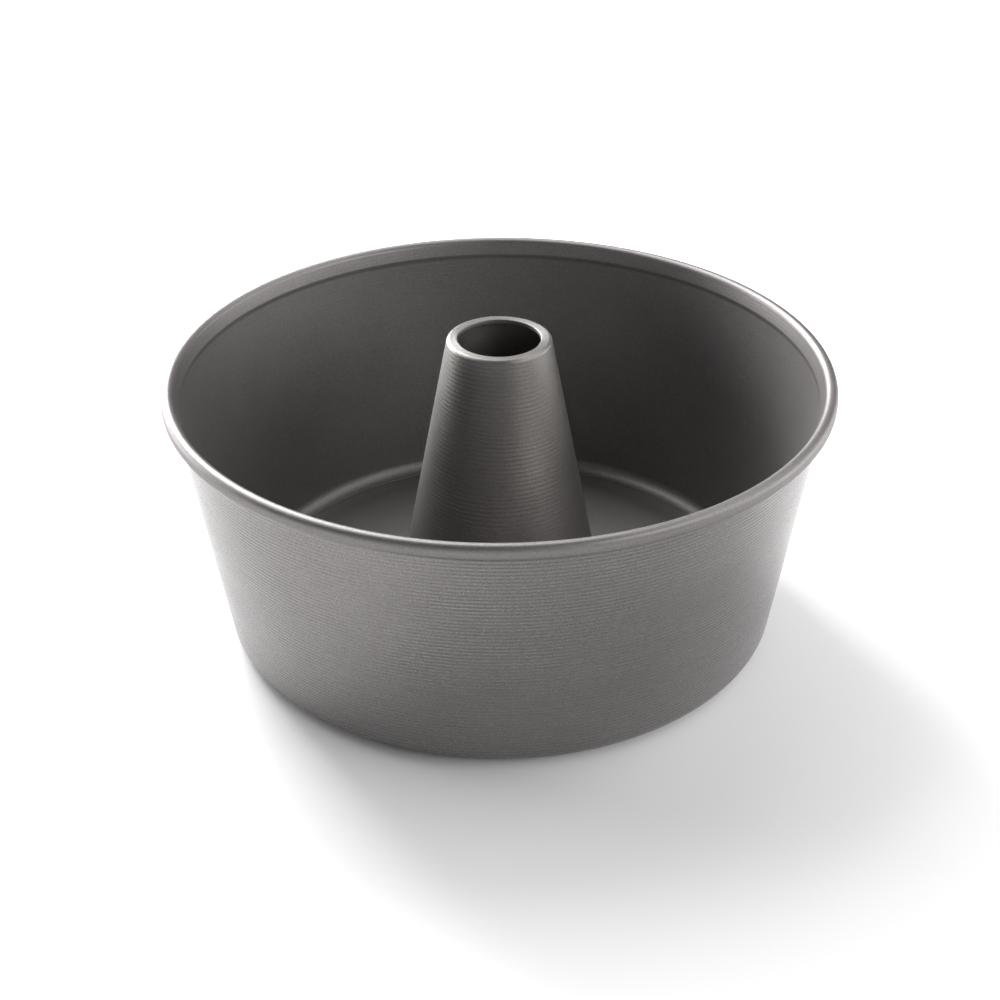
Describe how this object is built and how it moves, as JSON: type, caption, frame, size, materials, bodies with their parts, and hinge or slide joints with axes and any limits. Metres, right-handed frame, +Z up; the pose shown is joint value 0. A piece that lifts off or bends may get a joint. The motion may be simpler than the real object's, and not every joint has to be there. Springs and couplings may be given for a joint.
{
  "type": "angel food cake pan",
  "caption": "Round spun aluminium cake pan with tapered wall and rolled rim; its loose base plate carries a tall open conical tube and lifts out with the cake.",
  "frame": {"origin": "middle of the pan, on the plane that it stands on", "axes": "+Z up along the pan's axis; the pan is round, so X and Y are any two level directions"},
  "size_m": [0.2666, 0.2666, 0.1241],
  "materials": {
    "anodised_pan": "hard-anodised, matt dark grey, fine turning lines round the outside",
    "anodised_plate": "hard-anodised, matt dark grey, faint turning rings",
    "anodised_tube": "hard-anodised, matt dark grey, fine turning rings up the cone"
  },
  "bodies": {
    "pan": {"pan_shell": "anodised_pan"},
    "insert": {"base_plate": "anodised_plate", "centre_tube": "anodised_tube"}
  },
  "joints": [
    {"name": "insert_lift", "type": "slide", "parent": "pan", "child": "insert", "axis": [0, 0, 1], "range_m": [0, 0.125]}
  ]
}
